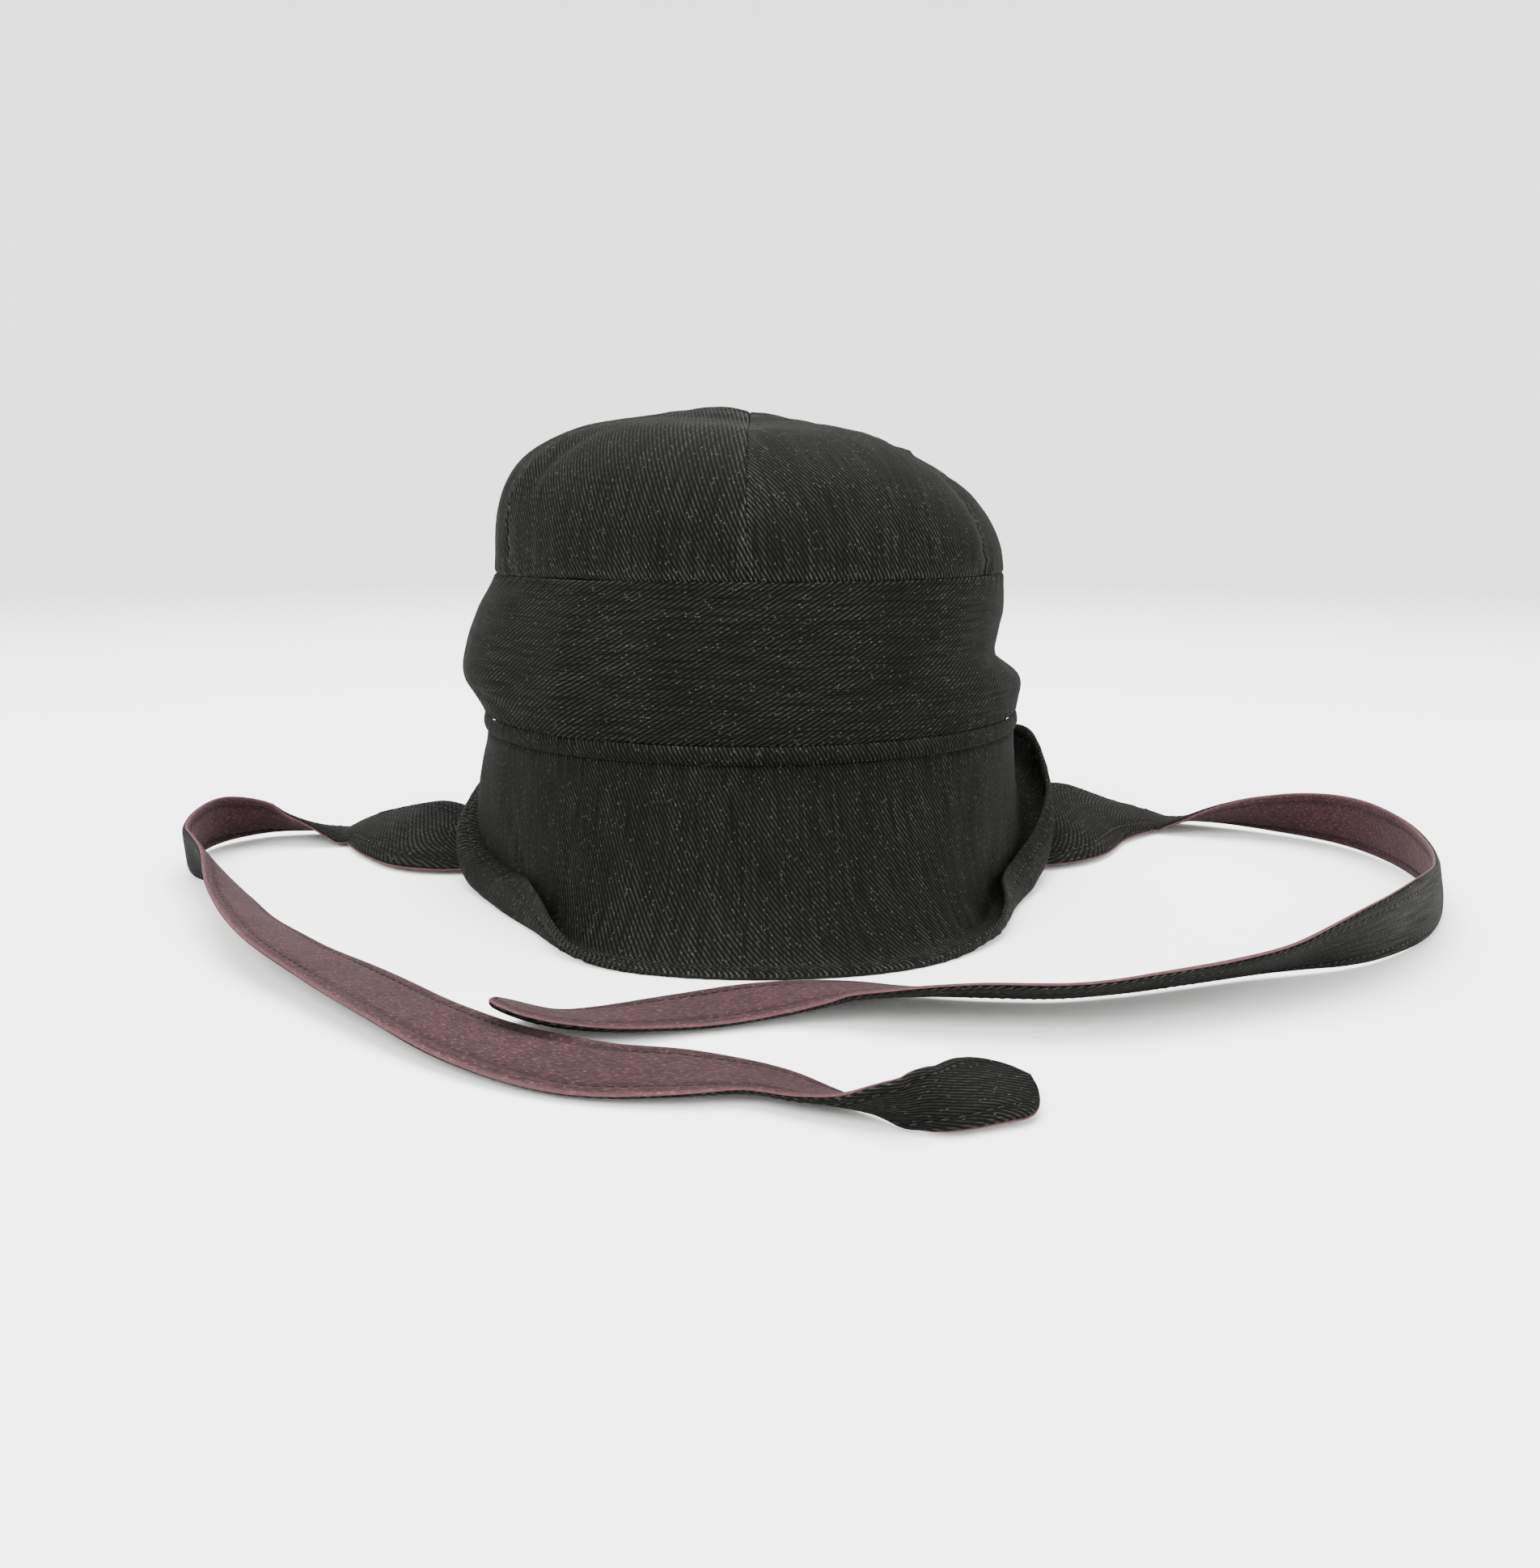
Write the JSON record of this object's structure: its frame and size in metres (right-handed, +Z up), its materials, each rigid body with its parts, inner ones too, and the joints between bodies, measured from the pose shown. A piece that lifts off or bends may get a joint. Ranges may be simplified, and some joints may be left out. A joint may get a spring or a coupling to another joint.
{
  "type": "bucket hat with ties",
  "caption": "Soft denim hat with a gored crown, a tall side band, a brim rolled up at the sides and two long lined ties lying on the surface in front.",
  "frame": {"origin": "centre of the head opening, on the surface that the hat lies on", "axes": "+Z up through the crown, -Y towards the front of the hat and its ties, +X towards the right of the picture, across both ties"},
  "size_m": [0.4604, 0.3648, 0.1675],
  "materials": {
    "washed_black_denim": "woven twill, washed",
    "mauve_brushed_cotton": "brushed, matte"
  },
  "bodies": {
    "root": {"crown_gore_1": "washed_black_denim", "crown_gore_2": "washed_black_denim", "crown_gore_3": "washed_black_denim", "crown_gore_4": "washed_black_denim", "crown_gore_5": "washed_black_denim", "crown_gore_6": "washed_black_denim", "side_band": "washed_black_denim", "brim_welt": "washed_black_denim", "brim": "washed_black_denim", "left_tie": "washed_black_denim", "left_tie_lining": "mauve_brushed_cotton", "right_tie": "washed_black_denim", "right_tie_lining": "mauve_brushed_cotton"}
  },
  "joints": []
}
